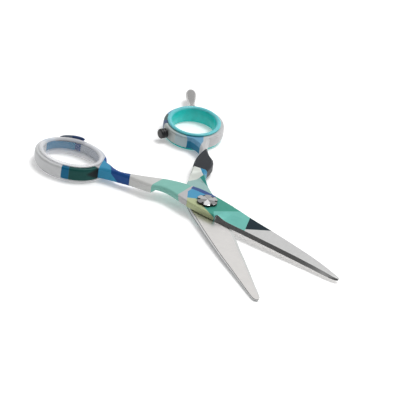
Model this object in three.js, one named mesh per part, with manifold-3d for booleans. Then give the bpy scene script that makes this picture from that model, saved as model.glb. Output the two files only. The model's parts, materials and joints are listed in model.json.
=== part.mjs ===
// Hair cutting shears, 6 inch class, offset handle, lying open on a table.
// Millimetres, +Z up. +X runs from the pivot towards the blade tips along the bisector of the open blades,
// +Y towards the finger ring. The origin is the centre of the bounding box's bottom face.
import * as THREE from "three";
import { mergeVertices } from "three/addons/utils/BufferGeometryUtils.js";
import Module from "manifold-3d";

// ---- driving dimensions -------------------------------------------------
const HALF_OPEN = 16.43;        // degrees from the bisector to each blade axis at rest
const PIVOT_Z = 3.7;            // height of the plane between the blades, at the pivot
const SLOPE = 0.0394;           // fall of that plane per mm towards the tips (the tips rest on the table)
const GAP = 0.08;               // half of the running gap between the blades
const BOSS_T = 2.7;             // thickness of each half at the pivot
const RING_BOTTOM = 1.05, RING_TOP = 6.5;          // steel bands of the finger rings
const RING_A = 15.0, RING_B = 12.2;                // half axes of a ring's mid line
const BAND_OUT = 1.55, BAND_IN = 1.5;              // band material outside and inside that line
const THUMB_RING = { s: -64.32, v: -14.04, turn: 3.95 };   // centre in the thumb half's blade axes, and long-axis turn
const FINGER_RING = { s: -72.31, v: 16.55, turn: -20.19 };
const INSERT_H = 7.6;
const STUD_R = 2.0, THREAD_R = 1.85, FLAT_HALF = 1.5;
const STUD_HEAD_R = 4.0, STUD_HEAD_FLAT = 3.5, STUD_HEAD_T = 1.1;
const BUSH_BORE = 2.07, BUSH_OUT = 2.75, BUSH_FLANGE_R = 3.8;
const COUNTERBORE_R = 3.95, COUNTERBORE_Z = 1.6;
const GLIDE_R = 4.9, GLIDE_POCKET = 0.36;
const DIAL_R = 4.52, DIAL_LOBE = 0.7, DIAL_Z0 = 2.92, DIAL_T = 1.15, DIAL_LOBES = 6, DIAL_PHASE = -38;
const TANG_DIR = 148.7, TANG_LEN = 20.6, TANG_Z = 4.0;
const THUMB_BOSS = 145;         // direction of the raised boss on the thumb ring's band
const BUMPER_DIR = -89.3, BUMPER_R = 2.2, BUMPER_LEN = 3.6, BUMPER_Z = 3.8;

const rad = THREE.MathUtils.degToRad;
const wasm = await Module();
wasm.setup();

// ---- solids -------------------------------------------------------------
function toSolid(geometry, matrix) {
  let g = geometry.index ? geometry.toNonIndexed() : geometry.clone();
  for (const a of Object.keys(g.attributes)) if (a !== "position") g.deleteAttribute(a);
  if (matrix) g.applyMatrix4(matrix);
  g = mergeVertices(g, 1e-5);
  return new wasm.Manifold(new wasm.Mesh({
    numProp: 3, vertProperties: new Float32Array(g.attributes.position.array), triVerts: new Uint32Array(g.index.array),
  }));
}
function toGeometry(solid) {
  const m = solid.getMesh(), g = new THREE.BufferGeometry(), v = new Float32Array(m.numVert * 3);
  for (let i = 0; i < m.numVert; i++) v.set(m.vertProperties.subarray(i * m.numProp, i * m.numProp + 3), i * 3);
  g.setAttribute("position", new THREE.BufferAttribute(v, 3));
  g.setIndex(new THREE.BufferAttribute(new Uint32Array(m.triVerts), 1));
  g.computeVertexNormals();
  return g;
}
const at = (x, y, z) => new THREE.Matrix4().makeTranslation(x, y, z);
// A closed skin through rings of points, [ring][point] = [x, y, z], each ring anticlockwise seen from the last ring.
function loft(rings, closed = false) {
  const n = rings[0].length, pos = rings.flat(2), idx = [], R = rings.length;
  for (let r = 0; r < (closed ? R : R - 1); r++)
    for (let i = 0; i < n; i++) {
      const a = r * n + i, b = r * n + ((i + 1) % n), c = ((r + 1) % R) * n + i, d = ((r + 1) % R) * n + ((i + 1) % n);
      idx.push(a, b, d, a, d, c);
    }
  if (!closed) {
    for (const [r, flip] of [[0, true], [R - 1, false]]) {
      const flat = rings[r].map((p) => new THREE.Vector2(p[1], p[2]));
      for (const t of THREE.ShapeUtils.triangulateShape(flat, [])) {
        const f = t.map((k) => r * n + k);
        const area = THREE.ShapeUtils.area(flat);
        if (flip === area > 0) idx.push(f[0], f[2], f[1]); else idx.push(f[0], f[1], f[2]);
      }
    }
  }
  const g = new THREE.BufferGeometry();
  g.setAttribute("position", new THREE.BufferAttribute(new Float32Array(pos), 3));
  g.setIndex(idx);
  return g;
}
// Monotone cubic through [x, y] pairs.
function curve(keys) {
  const n = keys.length, m = new Array(n).fill(0), d = [];
  for (let i = 0; i < n - 1; i++) d.push((keys[i + 1][1] - keys[i][1]) / (keys[i + 1][0] - keys[i][0]));
  for (let i = 1; i < n - 1; i++) m[i] = d[i - 1] * d[i] <= 0 ? 0 : (2 * d[i - 1] * d[i]) / (d[i - 1] + d[i]);
  m[0] = d[0]; m[n - 1] = d[n - 2];
  return (x) => {
    if (x <= keys[0][0]) return keys[0][1];
    if (x >= keys[n - 1][0]) return keys[n - 1][1];
    let i = 0; while (x > keys[i + 1][0]) i++;
    const h = keys[i + 1][0] - keys[i][0], t = (x - keys[i][0]) / h, t2 = t * t, t3 = t2 * t;
    return (2 * t3 - 3 * t2 + 1) * keys[i][1] + (t3 - 2 * t2 + t) * h * m[i] + (-2 * t3 + 3 * t2) * keys[i + 1][1] + (t3 - t2) * h * m[i + 1];
  };
}
const mix = (a, b, t) => a + (b - a) * t;
const step = (a, b, x) => { const t = Math.min(1, Math.max(0, (x - a) / (b - a))); return t * t * (3 - 2 * t); };
const ramp = (a, b, x) => Math.min(1, Math.max(0, (x - a) / (b - a)));
const planeZ = (x) => PIVOT_Z - SLOPE * x;      // the plane between the blades

// ---- the two forged halves ----------------------------------------------
// s runs along the blade axis from the pivot to the tip, w across it: + towards the blade's spine (on the shank: the
// side facing the other shank), - towards the cutting edge (on the shank: the outer side). sign +1: thumb half, above
// the plane between the blades; sign -1: finger half, below it.
const THUMB = {
  sign: 1, turn: HALF_OPEN,
  inner: curve([[-52, -6.4], [-48.5, -6.95], [-46, -7.6], [-43.8, -8.3], [-40.9, -8.6], [-38.7, -8.0], [-36.9, -6.9], [-33.3, -4.5], [-29.8, -2.2],
    [-26.2, 0.2], [-22.5, 2.5], [-18.6, 4.5], [-16, 5.4], [-12, 6.3], [-8, 6.8], [-3, 7.1], [2.9, 7.0], [7.3, 6.8], [12.8, 6.6], [19.3, 6.0],
    [24.3, 5.75], [30.6, 5.55], [37.7, 5.2], [45.9, 4.7], [54, 4.0], [60, 3.1], [64.5, 2.2], [67.4, 1.5], [68.6, 1.05], [69.3, 0.45]]),
  outer: curve([[-52, -18.5], [-50, -16.3], [-47.4, -13.9], [-43.2, -12.3], [-38.7, -11.1], [-34.6, -10.1], [-29, -9.3], [-26, -8.9], [-24.4, -8.4],
    [-22.6, -7.2], [-20.6, -6.2], [-18.5, -5.6], [-15.8, -5.4], [-12.4, -5.7], [-8.2, -6.2], [-3, -6.5], [2, -6.4], [8.9, -5.85], [9.6, -5.65],
    [12, -5.5], [14.7, -5.4], [18.3, -5.15], [22.2, -4.7], [27.2, -4.35], [32.2, -4.0], [37.1, -3.6], [42, -3.26], [46.9, -2.91], [51.8, -2.58], [56.7, -2.24], [61.7, -2.0],
    [65.5, -1.7], [68.1, -1.15], [68.8, -0.8], [69.3, -0.45]]),
  highZ: curve([[-52, 6.45], [-45, 6.45], [-30, 6.6], [-20, 6.8]]),        // outer face of the shank, absolute
  lowZ: curve([[-52, 1.1], [-45, 1.3], [-35, 1.9], [-26, 2.5]]),           // inner-plane side of the shank, absolute
  stepOuter: [-22.2, -24.2], stepInner: [-25.8, -27.6],
};
const FINGER = {
  sign: -1, turn: -HALF_OPEN,
  inner: curve([[-59.8, -9.13], [-57.4, -10.24], [-54.9, -11.35], [-52.66, -12.06], [-50.56, -12.34], [-48.68, -12.22], [-46.8, -12.0], [-44.5, -10.9], [-42.76, -9.65], [-40.9, -8.3], [-37.4, -6.2], [-31.2, -3.1], [-27.7, -1.4], [-24.3, 0.2], [-21.4, 1.7],
    [-18, 3.6], [-15, 5.0], [-12, 6.0], [-8, 6.7], [-3, 7.05], [3, 6.9], [7, 6.6], [12, 6.35], [17.2, 6.1], [25, 5.65], [34.6, 4.95],
    [44.2, 3.95], [54.3, 2.95], [62, 2.25], [66.3, 1.75], [67.6, 1.3], [68.35, 0.6]]),
  outer: curve([[-60, -21.4], [-58, -20.0], [-54, -17.6], [-50, -15.9], [-45.2, -14.8], [-41, -14.4], [-37.7, -14.6], [-34.9, -14.0], [-32.1, -12.4], [-29, -10.0],
    [-25.4, -7.6], [-20, -6.35], [-15.5, -6.05], [-12.3, -6.1], [-7.6, -6.4], [-3, -6.6], [2, -6.5], [8.9, -6.0], [9.6, -5.8], [13, -5.15], [15.5, -5.2],
    [18.5, -5.45], [24.4, -5.15], [32.9, -4.3], [40.3, -3.8], [49.7, -2.95], [58.2, -2.15], [66.3, -1.45], [67.6, -1.1], [68.35, -0.5]]),
  highZ: curve([[-58, 1.1], [-45, 1.15], [-30, 1.2], [-20, 1.2]]),
  lowZ: curve([[-58, 6.45], [-45, 6.45], [-35, 6.4], [-26, 6.2]]),
  stepOuter: [-17.5, -24.5], stepInner: [-26.0, -28.0],
};
THUMB.other = FINGER; FINGER.other = THUMB;        // closed, each shank passes over the other up to its inner side
const thickness = curve([[-20, 2.25], [-12, 2.5], [-7, BOSS_T], [9, BOSS_T], [14, 2.6], [22, 2.45], [30, 2.3], [45, 1.9], [60, 1.45], [69, 1.06]]);
const bevelTop = curve([[9, 1.3], [15, 1.5], [45, 1.45], [62, 1.15], [69, 0.85]]);
function section(half, s) {
  const { sign } = half, wi = half.inner(s), wo = half.outer(s), W = wi - wo, c = Math.cos(rad(half.turn)), k = Math.sin(rad(half.turn));
  const kHigh = step(-16, -30, s);
  const kOut = ramp(half.stepOuter[0], half.stepOuter[1], s), kIn = ramp(half.stepInner[0], half.stepInner[1], s);
  const T = thickness(s), shank = step(-6, -20, s), blade = s > 9.3 ? 1 : 0;
  const round = Math.min(0.95, W * 0.3);
  const cBot = blade ? 0.0 : mix(0.12, round, kOut), cBotIn = blade ? 0.1 : mix(0.12, round, kIn);
  const cTop = mix(0.5, round, shank);
  const place = (w, low, high, kLow) => {
    const v = sign * w, x = s * c - v * k, y = s * k + v * c, pz = planeZ(x);
    const zl = mix(pz + sign * GAP, half.lowZ(s), kLow), zh = mix(pz + sign * T, half.highZ(s), kHigh);
    const t = sign * Math.sign(1);
    return [x, y, high === null ? zl + t * low : zh - t * high];
  };
  const p = [];
  // inner-plane face
  p.push(place(wo + cBot, 0, null, kOut));
  const wFlat = blade ? mix(wo, wi, 0.5) : Math.min(wi - cBotIn - 0.35, Math.max(wo + cBot + 0.35, -half.other.inner(s) - 0.7));
  p.push(place(wFlat, 0, null, kIn));
  p.push(place(wi - cBotIn, 0, null, kIn));
  // side along the spine
  p.push(place(wi, cBotIn, null, kIn));
  const cSpine = blade ? Math.min(0.75, W * 0.2) : cTop;
  p.push(place(wi, null, blade ? Math.min(0.75, T * 0.45) : cTop, kIn));
  p.push(place(wi - cSpine, null, 0, kIn));
  if (blade) {
    // crown, hollow ground face, then the bevel down to the cutting edge
    const bt = Math.min(bevelTop(s), T * 0.8), bw = Math.min(1.25, W * 0.28);
    const w3 = wi - cSpine, w7 = wo + bw, h7 = T - bt;
    const cr = ramp(9.3, 20.5, s);                       // the flat crown runs out at the spine
    const wCrown = mix(mix(w7, w3, 0.42), mix(w7, w3, 0.72), cr), hCrown = mix(0, h7 * 0.25, step(0.75, 1, cr));
    const wFace = mix(mix(w7, w3, 0.14), mix(w7, w3, 0.36), cr), hFace = mix(h7 * 0.86, h7 * 0.62, cr);
    p.push(place(wCrown, null, hCrown, kIn));
    p.push(place(wFace, null, hFace, kOut));
    p.push(place(w7, null, h7, kOut));
    p.push(place(mix(wo, w7, 0.5), mix(0.03, bt - GAP, 0.5), null, kOut));
    p.push(place(wo, 0.05, null, kOut));
  } else {
    p.push(place(mix(wo, wi, 0.62), null, 0, kIn));
    p.push(place(mix(wo, wi, 0.38), null, 0, kOut));
    p.push(place(wo + cTop, null, 0, kOut));
    p.push(place(wo, null, cTop, kOut));
    p.push(place(wo, cBot, null, kOut));
  }
  return p;
}
function halfBody(half, stations) {
  return toSolid(loft(stations.map((s) => section(half, s))));
}
// A closed tube whose section is [offset outwards, z] around an oval.
function ovalRing(cx, cy, turn, profile, steps, a = RING_A, b = RING_B, outward = null) {
  const rings = [];
  for (let i = 0; i < steps; i++) {
    const f = (i / steps) * 2 * Math.PI, ex = a * Math.cos(f), ey = b * Math.sin(f);
    let nx = Math.cos(f) / a, ny = Math.sin(f) / b; const l = Math.hypot(nx, ny); nx /= l; ny /= l;
    const grow = outward ? outward(THREE.MathUtils.radToDeg(turn + Math.atan2(ey, ex))) : 1;
    rings.push(profile.map(([offset, z]) => {
      const o = offset > 0 ? offset * grow : offset;
      const px = ex + nx * o, py = ey + ny * o, c = Math.cos(turn), k = Math.sin(turn);
      return [cx + px * c - py * k, cy + px * k + py * c, z];
    }));
  }
  return loft(rings, true);
}
function ringPlace(half, ring) {
  const t = rad(half.turn), c = Math.cos(t), k = Math.sin(t);
  return { x: ring.s * c - ring.v * k, y: ring.s * k + ring.v * c, turn: t + rad(ring.turn) };
}
const BAND = [[BAND_OUT - 0.55, RING_BOTTOM], [BAND_OUT - 0.12, RING_BOTTOM + 0.7], [BAND_OUT, (RING_TOP + RING_BOTTOM) / 2], [BAND_OUT - 0.12, RING_TOP - 0.7],
  [BAND_OUT - 0.55, RING_TOP], [-BAND_IN + 0.25, RING_TOP], [-BAND_IN, RING_TOP - 0.25], [-BAND_IN, RING_BOTTOM + 0.25], [-BAND_IN + 0.25, RING_BOTTOM]];
const INSERT = [[-1.6, 0.93], [-1.6, 6.56], [-0.3, 6.6], [-0.08, 7.1], [-0.6, INSERT_H], [-1.45, INSERT_H], [-2.15, 7.0],
  [-2.5, 3.8], [-2.15, 0.6], [-1.45, 0], [0.2, 0], [0.68, 0.45], [0.5, 0.93]].reverse();
const tp = ringPlace(THUMB, THUMB_RING), fp = ringPlace(FINGER, FINGER_RING);
const STEPS = 40;

// pivot frame: origin on the hinge axis in the plane between the blades
const tilt = Math.atan(SLOPE);
const pivotMatrix = new THREE.Matrix4().makeTranslation(0, 0, PIVOT_Z).multiply(new THREE.Matrix4().makeRotationY(tilt));
const cyl = (r, z0, z1, seg = 32, phase = 0) => new THREE.CylinderGeometry(r, r, z1 - z0, seg, 1).rotateX(Math.PI / 2).rotateZ(phase).translate(0, 0, (z0 + z1) / 2);
const disc = (r, z0, z1, seg, matrix = pivotMatrix, phase = 0) => toSolid(cyl(r, z0, z1, seg, phase), matrix);
// a disc with two flats at +-flat along its own y
function keyed(r, flat, z0, z1, matrix, seg = 32) {
  const box = new THREE.BoxGeometry(4 * r, 2 * flat, z1 - z0 + 2).translate(0, 0, (z0 + z1) / 2);
  return toSolid(cyl(r, z0, z1, seg), matrix).intersect(toSolid(box, matrix));
}
// stations along each half
const THUMB_S = [-51, -49, -47, -45, -43, -41, -39, -37, -34.5, -32, -29.5, -27.6, -25.8, -24.2, -22.2, -20, -17.5, -14.5, -11, -7, -3, 1, 5, 9.2, 9.5, 12, 15, 18, 21,
  26, 32, 38, 44, 50, 56, 61, 65, 67.4, 68.6, 69.3];
const FINGER_S = [-59, -57, -55, -53, -50.5, -48, -45, -42, -39.5, -37.5, -35.5, -33.5, -31, -28, -26, -24.5, -22.5, -20, -17.5, -14.5, -11, -7, -3, 1, 5, 9.2, 9.5, 12, 15, 18, 21,
  26, 32, 38, 44, 50, 56, 61, 64.5, 66.3, 67.6, 68.35];

const holeTool = (p) => toSolid(ovalRing(p.x, p.y, p.turn, [[-BAND_IN - 3, -2], [-BAND_IN, -2], [-BAND_IN, 12], [-BAND_IN - 3, 12]].reverse(), STEPS));
const coreTool = (p) => {
  const shape = new THREE.Shape();
  shape.absellipse(0, 0, RING_A - BAND_IN - 0.9, RING_B - BAND_IN - 0.9, 0, 2 * Math.PI, false, p.turn);
  return toSolid(new THREE.ExtrudeGeometry(shape, { depth: 14, bevelEnabled: false, curveSegments: 24 }), at(p.x, p.y, -2));
};
// the steel band; boss = [direction in degrees, height, half width in degrees] swells its outside
const bandOf = (p, boss = null) => {
  const swell = (dir) => boss ? boss[1] * Math.exp(-(((dir - boss[0] + 540) % 360 - 180) ** 2) / (2 * boss[2] ** 2)) : 0;
  return toSolid(ovalRing(p.x, p.y, p.turn, BAND.slice().reverse(), STEPS, RING_A, RING_B, (dir) => 1 + swell(dir) / BAND_OUT));
};

// thumb half: bore for the bushing, counterbore for the tension stack
let thumb = halfBody(THUMB, THUMB_S).subtract(holeTool(tp)).subtract(coreTool(tp)).add(bandOf(tp, [THUMB_BOSS, 1.9, 11]));
thumb = thumb.subtract(disc(BUSH_OUT + 0.05, -1, 4, 32)).subtract(disc(COUNTERBORE_R, COUNTERBORE_Z, 5, 40));

// finger half: stud hole, keyed head pocket, glide-washer pocket, tapped holes for the finger rest and the bumper peg
let finger = halfBody(FINGER, FINGER_S).subtract(holeTool(fp)).subtract(coreTool(fp)).add(bandOf(fp));
finger = finger.subtract(disc(STUD_R + 0.05, -5, 1, 32)).subtract(keyed(STUD_HEAD_R + 0.06, STUD_HEAD_FLAT + 0.06, -4, -BOSS_T + STUD_HEAD_T + 0.08, pivotMatrix))
  .subtract(disc(GLIDE_R + 0.1, -GLIDE_POCKET - GAP, 1, 40));

// a radial frame on a ring: origin on the band's outer surface, local z outwards
function radial(p, dirDeg, z) {
  const d = rad(dirDeg), rel = d - p.turn, a = RING_A + BAND_OUT, b = RING_B + BAND_OUT;
  const r = 1 / Math.hypot(Math.cos(rel) / a, Math.sin(rel) / b);
  const out = new THREE.Vector3(Math.cos(d), Math.sin(d), 0), up = new THREE.Vector3(0, 0, 1), side = new THREE.Vector3().crossVectors(up, out);
  return new THREE.Matrix4().makeBasis(side, up, out).setPosition(p.x + out.x * r, p.y + out.y * r, z);
}
const tangFrame = radial(fp, TANG_DIR, TANG_Z), bumperFrame = radial(fp, BUMPER_DIR, BUMPER_Z);
finger = finger.subtract(toSolid(cyl(1.06, -2.5, 2, 20), tangFrame)).subtract(toSolid(cyl(0.86, -2.3, 2, 16), bumperFrame));

// ---- pivot stack ----------------------------------------------------------
const stud = keyed(STUD_HEAD_R, STUD_HEAD_FLAT, -BOSS_T + 0.05, -BOSS_T + STUD_HEAD_T, pivotMatrix)
  .add(disc(STUD_R, -BOSS_T + STUD_HEAD_T - 0.3, 1.95, 32)).add(keyed(THREAD_R, FLAT_HALF, 1.5, DIAL_Z0 + 0.62, pivotMatrix));
const bushing = disc(BUSH_OUT, GAP + 0.05, COUNTERBORE_Z + 0.1, 32).add(disc(BUSH_FLANGE_R, COUNTERBORE_Z + 0.03, COUNTERBORE_Z + 0.4, 36)).subtract(disc(BUSH_BORE, -1, 3, 32));
const glide = disc(GLIDE_R, -GLIDE_POCKET - GAP + 0.03, GAP - 0.03, 36).subtract(disc(STUD_R + 0.08, -1, 1, 32));
const lathe = (pts, seg, matrix) => toSolid(new THREE.LatheGeometry(pts.map(([r, z]) => new THREE.Vector2(r, z)), seg).rotateX(Math.PI / 2), matrix);
const springWasher = lathe([[2.15, 2.22], [3.6, 2.04], [3.6, 2.22], [2.15, 2.42], [2.15, 2.22]], 36, pivotMatrix);
const clickWasher = disc(3.7, 2.46, 2.82, 36).subtract(keyed(THREAD_R + 0.05, FLAT_HALF + 0.05, 2, 3.5, pivotMatrix));
const lobes = new THREE.Shape();
for (let i = 0; i < 72; i++) {
  const f = (i / 72) * 2 * Math.PI, r = DIAL_R - DIAL_LOBE * (0.5 - 0.5 * Math.cos(DIAL_LOBES * f)) ** 3, q = f + rad(DIAL_PHASE);
  if (i === 0) lobes.moveTo(r * Math.cos(q), r * Math.sin(q)); else lobes.lineTo(r * Math.cos(q), r * Math.sin(q));
}
// six shallow facets on top, one behind each lobe, over a closed cap; the thread is a blind bore from below
const facets = toSolid(new THREE.LatheGeometry([[0, 0], [DIAL_R + 0.8, 0], [DIAL_R + 0.8, DIAL_T - 0.44], [0, DIAL_T]].map(([r, z]) => new THREE.Vector2(r, z)), 6)
  .rotateX(Math.PI / 2).rotateZ(rad(DIAL_PHASE + 30)).translate(0, 0, DIAL_Z0), pivotMatrix);
const dial = toSolid(new THREE.ExtrudeGeometry(lobes, { depth: DIAL_T + 0.4, bevelEnabled: false }).translate(0, 0, DIAL_Z0), pivotMatrix)
  .intersect(facets).subtract(disc(THREAD_R + 0.07, 2, DIAL_Z0 + 0.8, 32));

// ---- finger rest, bumper ---------------------------------------------------
const TANG = [[0, -2.3], [1.0, -2.3], [1.0, 0.80], [1.95, 0.82], [2.1, 1.0], [2.1, 2.0], [1.85, 3.0], [1.58, 4.6], [1.45, 6.4], [1.5, 7.8], [1.8, 10], [2.15, 12.6], [2.4, 15], [2.48, 16.4], [2.36, 17.8],
  [1.95, 19.1], [1.25, 20.1], [0.6, 20.48], [0, TANG_LEN]];
const ORING = []; for (let i = 0; i <= 10; i++) { const f = (i / 10) * 2 * Math.PI; ORING.push([1.38 + 0.3 * Math.cos(f), 0.47 + 0.3 * Math.sin(f)]); }
const tang = lathe(TANG, 20, tangFrame), oring = lathe(ORING, 20, tangFrame);
const bumper = lathe([[0.85, 0.32], [BUMPER_R - 0.15, 0.32], [BUMPER_R, 0.5], [BUMPER_R, 0.95], [BUMPER_R - 0.28, 1.1], [BUMPER_R - 0.28, 1.35], [BUMPER_R, 1.5], [BUMPER_R, 2.15], [BUMPER_R - 0.28, 2.3],
  [BUMPER_R - 0.28, 2.55], [BUMPER_R, 2.7], [BUMPER_R, 3.2], [BUMPER_R - 0.35, BUMPER_LEN], [0, BUMPER_LEN], [0, 2.75], [1.25, 2.55], [1.25, 2.1], [0.85, 1.9], [0.85, 0.32]], 24, bumperFrame);
const peg = lathe([[0, -2.1], [0.8, -2.1], [0.8, 1.98], [1.18, 2.15], [1.18, 2.5], [0, 2.68]], 16, bumperFrame);

const thumbInsert = toSolid(ovalRing(tp.x, tp.y, tp.turn, INSERT, STEPS)), fingerInsert = toSolid(ovalRing(fp.x, fp.y, fp.turn, INSERT, STEPS));

// ---- scene graph -----------------------------------------------------------
const group = new THREE.Group();
function add(name, solid, color, roughness, metalness, parent = group) {
  const mesh = new THREE.Mesh(toGeometry(solid), new THREE.MeshStandardMaterial({ color, roughness, metalness }));
  mesh.name = name; parent.add(mesh);
  return mesh;
}
const fingerHalf = new THREE.Group(), thumbHalf = new THREE.Group(), tension = new THREE.Group();
group.add(fingerHalf, thumbHalf, tension);
add("finger_blade", finger, 0xb9b9b6, 0.4, 1, fingerHalf);
add("finger_ring_insert", fingerInsert, 0x1fb8b0, 0.4, 0, fingerHalf);
add("pivot_stud", stud, 0xd0d0d0, 0.2, 1, fingerHalf);
add("glide_washer", glide, 0xe8e8e4, 0.5, 0, fingerHalf);
add("bumper", bumper, 0x141414, 0.7, 0, fingerHalf);
add("bumper_peg", peg, 0xb0b0b0, 0.3, 1, fingerHalf);
add("finger_rest", tang, 0xc8c8c8, 0.2, 1, fingerHalf);
add("finger_rest_oring", oring, 0x151515, 0.7, 0, fingerHalf);
add("thumb_blade", thumb, 0x5fb3a4, 0.4, 1, thumbHalf);
add("thumb_ring_insert", thumbInsert, 0xe4e6ea, 0.2, 0, thumbHalf);
add("pivot_bushing", bushing, 0xd8d6cc, 0.5, 0, thumbHalf);
add("spring_washer", springWasher, 0xa8a8a8, 0.35, 1, tension);
add("click_washer", clickWasher, 0xb4b4b4, 0.35, 1, tension);
add("tension_dial", dial, 0xd8d8d8, 0.12, 1, tension);

// origin: centre of the bottom of the bounding box
group.updateMatrixWorld(true);
const box = new THREE.Box3().setFromObject(group, true);
group.position.set(-(box.min.x + box.max.x) / 2, -(box.min.y + box.max.y) / 2, -box.min.z);

export default group;
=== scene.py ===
# Hair cutting shears: the looks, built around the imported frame. Metres; helper shapes are drawn in millimetres.
import bpy, bmesh, json, math
from mathutils import Vector, Matrix


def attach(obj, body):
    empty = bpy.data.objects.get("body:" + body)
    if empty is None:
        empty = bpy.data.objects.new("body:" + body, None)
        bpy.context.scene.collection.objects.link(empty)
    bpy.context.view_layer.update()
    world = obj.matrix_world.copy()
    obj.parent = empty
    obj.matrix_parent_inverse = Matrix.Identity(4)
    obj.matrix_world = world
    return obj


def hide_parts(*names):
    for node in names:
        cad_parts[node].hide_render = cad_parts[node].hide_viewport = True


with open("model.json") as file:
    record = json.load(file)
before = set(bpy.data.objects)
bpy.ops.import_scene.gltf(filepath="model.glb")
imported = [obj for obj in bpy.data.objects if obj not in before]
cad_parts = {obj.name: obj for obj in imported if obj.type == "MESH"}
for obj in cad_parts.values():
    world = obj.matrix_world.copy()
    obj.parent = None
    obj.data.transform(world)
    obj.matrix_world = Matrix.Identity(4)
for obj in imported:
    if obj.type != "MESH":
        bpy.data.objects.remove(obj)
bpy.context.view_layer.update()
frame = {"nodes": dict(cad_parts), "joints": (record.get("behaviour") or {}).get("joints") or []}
scene = bpy.context.scene
rad = math.radians
PIVOT = Vector([j for j in frame["joints"] if j["name"] == "blade_pivot"][0]["pos_m"]) * 1000
HALF_OPEN, PIVOT_Z, SLOPE, GAP, BOSS_T = 16.43, 3.7, 0.0394, 0.08, 2.7
OFF = Vector((PIVOT.x, PIVOT.y, PIVOT.z - PIVOT_Z))          # pivot-centred drawing -> row frame, mm

# ------------------------------------------------------------------ curves
def curve(keys):
    n = len(keys)
    d = [(keys[i + 1][1] - keys[i][1]) / (keys[i + 1][0] - keys[i][0]) for i in range(n - 1)]
    m = [0.0] * n
    for i in range(1, n - 1):
        m[i] = 0.0 if d[i - 1] * d[i] <= 0 else 2 * d[i - 1] * d[i] / (d[i - 1] + d[i])
    m[0], m[-1] = d[0], d[-1]
    def f(x):
        if x <= keys[0][0]: return keys[0][1]
        if x >= keys[-1][0]: return keys[-1][1]
        i = 0
        while x > keys[i + 1][0]: i += 1
        h = keys[i + 1][0] - keys[i][0]; t = (x - keys[i][0]) / h; t2 = t * t; t3 = t2 * t
        return (2 * t3 - 3 * t2 + 1) * keys[i][1] + (t3 - 2 * t2 + t) * h * m[i] + (-2 * t3 + 3 * t2) * keys[i + 1][1] + (t3 - t2) * h * m[i + 1]
    return f
mix = lambda a, b, t: a + (b - a) * t
def ramp(a, b, x): return min(1.0, max(0.0, (x - a) / (b - a)))
def step(a, b, x):
    t = ramp(a, b, x)
    return t * t * (3 - 2 * t)
planeZ = lambda x: PIVOT_Z - SLOPE * x

class Half: pass
THUMB, FINGER = Half(), Half()
THUMB.sign, THUMB.turn = 1, HALF_OPEN
THUMB.inner = curve([(-52, -6.4), (-48.5, -6.95), (-46, -7.6), (-43.8, -8.3), (-40.9, -8.6), (-38.7, -8.0), (-36.9, -6.9), (-33.3, -4.5), (-29.8, -2.2),
    (-26.2, 0.2), (-22.5, 2.5), (-18.6, 4.5), (-16, 5.4), (-12, 6.3), (-8, 6.8), (-3, 7.1), (2.9, 7.0), (7.3, 6.8), (12.8, 6.6), (19.3, 6.0),
    (24.3, 5.75), (30.6, 5.55), (37.7, 5.2), (45.9, 4.7), (54, 4.0), (60, 3.1), (64.5, 2.2), (67.4, 1.5), (68.6, 1.05), (69.3, 0.45)])
THUMB.outer = curve([(-52, -18.5), (-50, -16.3), (-47.4, -13.9), (-43.2, -12.3), (-38.7, -11.1), (-34.6, -10.1), (-29, -9.3), (-26, -8.9), (-24.4, -8.4),
    (-22.6, -7.2), (-20.6, -6.2), (-18.5, -5.6), (-15.8, -5.4), (-12.4, -5.7), (-8.2, -6.2), (-3, -6.5), (2, -6.4), (8.9, -5.85), (9.6, -5.65),
    (12, -5.5), (14.7, -5.4), (18.3, -5.15), (22.2, -4.7), (27.2, -4.35), (32.2, -4.0), (37.1, -3.6), (42, -3.26), (46.9, -2.91), (51.8, -2.58), (56.7, -2.24), (61.7, -2.0),
    (65.5, -1.7), (68.1, -1.15), (68.8, -0.8), (69.3, -0.45)])
THUMB.highZ = curve([(-52, 6.45), (-45, 6.45), (-30, 6.6), (-20, 6.8)])
THUMB.lowZ = curve([(-52, 1.1), (-45, 1.3), (-35, 1.9), (-26, 2.5)])
THUMB.stepOuter, THUMB.stepInner = (-22.2, -24.2), (-25.8, -27.6)
FINGER.sign, FINGER.turn = -1, -HALF_OPEN
FINGER.inner = curve([(-59.8, -9.13), (-57.4, -10.24), (-54.9, -11.35), (-52.66, -12.06), (-50.56, -12.34), (-48.68, -12.22), (-46.8, -12.0), (-44.5, -10.9), (-42.76, -9.65), (-40.9, -8.3), (-37.4, -6.2), (-31.2, -3.1), (-27.7, -1.4), (-24.3, 0.2), (-21.4, 1.7),
    (-18, 3.6), (-15, 5.0), (-12, 6.0), (-8, 6.7), (-3, 7.05), (3, 6.9), (7, 6.6), (12, 6.35), (17.2, 6.1), (25, 5.65), (34.6, 4.95),
    (44.2, 3.95), (54.3, 2.95), (62, 2.25), (66.3, 1.75), (67.6, 1.3), (68.35, 0.6)])
FINGER.outer = curve([(-60, -21.4), (-58, -20.0), (-54, -17.6), (-50, -15.9), (-45.2, -14.8), (-41, -14.4), (-37.7, -14.6), (-34.9, -14.0), (-32.1, -12.4), (-29, -10.0),
    (-25.4, -7.6), (-20, -6.35), (-15.5, -6.05), (-12.3, -6.1), (-7.6, -6.4), (-3, -6.6), (2, -6.5), (8.9, -6.0), (9.6, -5.8), (13, -5.15), (15.5, -5.2),
    (18.5, -5.45), (24.4, -5.15), (32.9, -4.3), (40.3, -3.8), (49.7, -2.95), (58.2, -2.15), (66.3, -1.45), (67.6, -1.1), (68.35, -0.5)])
FINGER.highZ = curve([(-58, 1.1), (-45, 1.15), (-30, 1.2), (-20, 1.2)])
FINGER.lowZ = curve([(-58, 6.45), (-45, 6.45), (-35, 6.4), (-26, 6.2)])
FINGER.stepOuter, FINGER.stepInner = (-17.5, -24.5), (-26.0, -28.0)
THUMB.other, FINGER.other = FINGER, THUMB
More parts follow.
